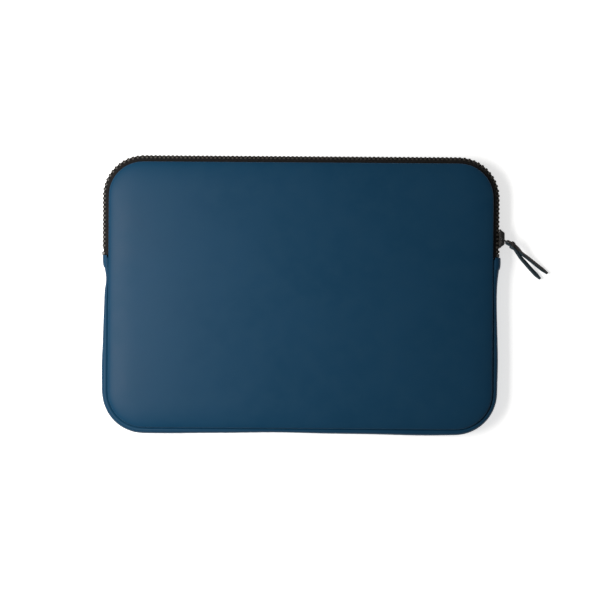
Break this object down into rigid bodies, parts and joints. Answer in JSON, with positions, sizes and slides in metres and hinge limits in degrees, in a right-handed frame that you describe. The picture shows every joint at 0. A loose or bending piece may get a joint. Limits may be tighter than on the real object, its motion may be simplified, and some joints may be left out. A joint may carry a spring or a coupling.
{
  "type": "laptop sleeve",
  "caption": "Padded laptop sleeve with rounded corners, a zip round its upper half, a gusset below, and a lace zip pull. The front panel folds open.",
  "frame": {"origin": "centre of the back panel's flat outer face, on which the sleeve lies", "axes": "+X towards the sleeve's right-hand side, where the zip's slider is; +Y towards the zipped edge; +Z out of the front panel"},
  "size_m": [0.3946, 0.2449, 0.022],
  "materials": {
    "cover": "matt coated fabric, navy",
    "foam": "grey foam sheet",
    "lining": "short-pile knitted lining, dark grey",
    "zip_tape": "woven tape, near black",
    "zip_teeth": "satin moulded plastic, black",
    "zip_metal": "satin black enamel",
    "lace": "dark coated leather"
  },
  "bodies": {
    "root": {"back_cover": "cover", "back_foam_pad": "foam", "back_lining": "lining", "back_seam_binding": "lining", "back_top_stop": "zip_metal", "back_zip_tape": "zip_tape", "back_zip_teeth": "zip_teeth", "bottom_stop": "zip_metal", "front_cover_lower": "cover", "front_foam_pad_lower": "foam", "front_lining_lower": "lining", "front_seam_binding_lower": "lining", "gusset_cover": "cover", "gusset_lining": "lining", "zip_end_tab_left": "cover", "zip_end_tab_right": "cover"},
    "front_flap": {"front_cover_upper": "cover", "front_foam_pad_upper": "foam", "front_lining_upper": "lining", "front_seam_binding_upper": "lining", "front_top_stop": "zip_metal", "front_zip_tape": "zip_tape", "front_zip_teeth": "zip_teeth"},
    "slider": {"slider_body": "zip_metal", "slider_cap": "zip_metal", "slider_lock_spring": "zip_metal"},
    "ring": {"pull_ring": "zip_metal"},
    "lace": {"pull_lace": "lace"}
  },
  "joints": [
    {"name": "flap_open", "type": "hinge", "parent": "root", "child": "front_flap", "pos_m": [0, 0.034, 0.022], "axis": [1, 0, 0], "range_deg": [0, 120]},
    {"name": "slider_travel", "type": "slide", "parent": "root", "child": "slider", "axis": [0, 1, 0], "range_m": [-0.0036, 0.025]},
    {"name": "ring_swing", "type": "hinge", "parent": "slider", "child": "ring", "pos_m": [0.1771, 0.0513, 0.011], "axis": [0, 0, 1], "range_deg": [-6.5, 73.5]},
    {"name": "lace_swing", "type": "hinge", "parent": "ring", "child": "lace", "pos_m": [0.18227, 0.04788, 0.011], "axis": [0, 0, 1], "range_deg": [-35, 35]}
  ]
}
